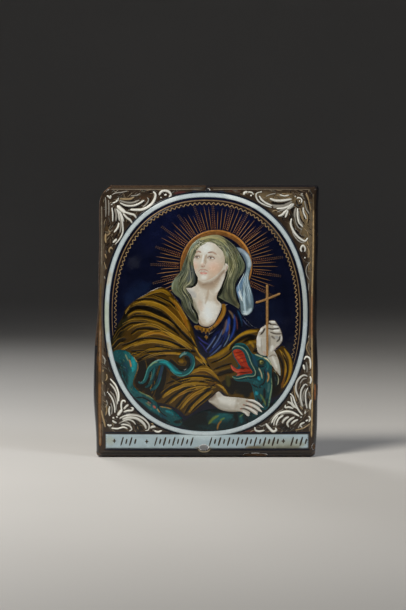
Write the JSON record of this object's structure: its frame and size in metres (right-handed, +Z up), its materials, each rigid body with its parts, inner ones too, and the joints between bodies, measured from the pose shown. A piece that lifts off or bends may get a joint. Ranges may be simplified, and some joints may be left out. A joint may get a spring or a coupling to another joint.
{
  "type": "painted enamel plaque",
  "caption": "Upright domed wall plaque of painted enamel on copper, with turned edges, two fixing holes and an oval devotional figure among raised scrolls.",
  "frame": {"origin": "on the rim that lies against the wall, at the middle of the top edge", "axes": "+Z up, +X to the right seen from the front, the picture faces -Y and the wall is at +Y"},
  "size_m": [0.1103, 0.0109, 0.135],
  "materials": {
    "painted_enamel": "glossy fused enamel, nearly black blue ground with painted and gilt picture",
    "white_enamel": "raised bluish white enamel, glossy, a little dirty",
    "gilding": "thin worn shell gold lines fired on the enamel",
    "copper_edge": "bare oxidised copper of the turned rim and chips"
  },
  "bodies": {
    "root": {"enamel_plaque": "painted_enamel"}
  },
  "joints": []
}
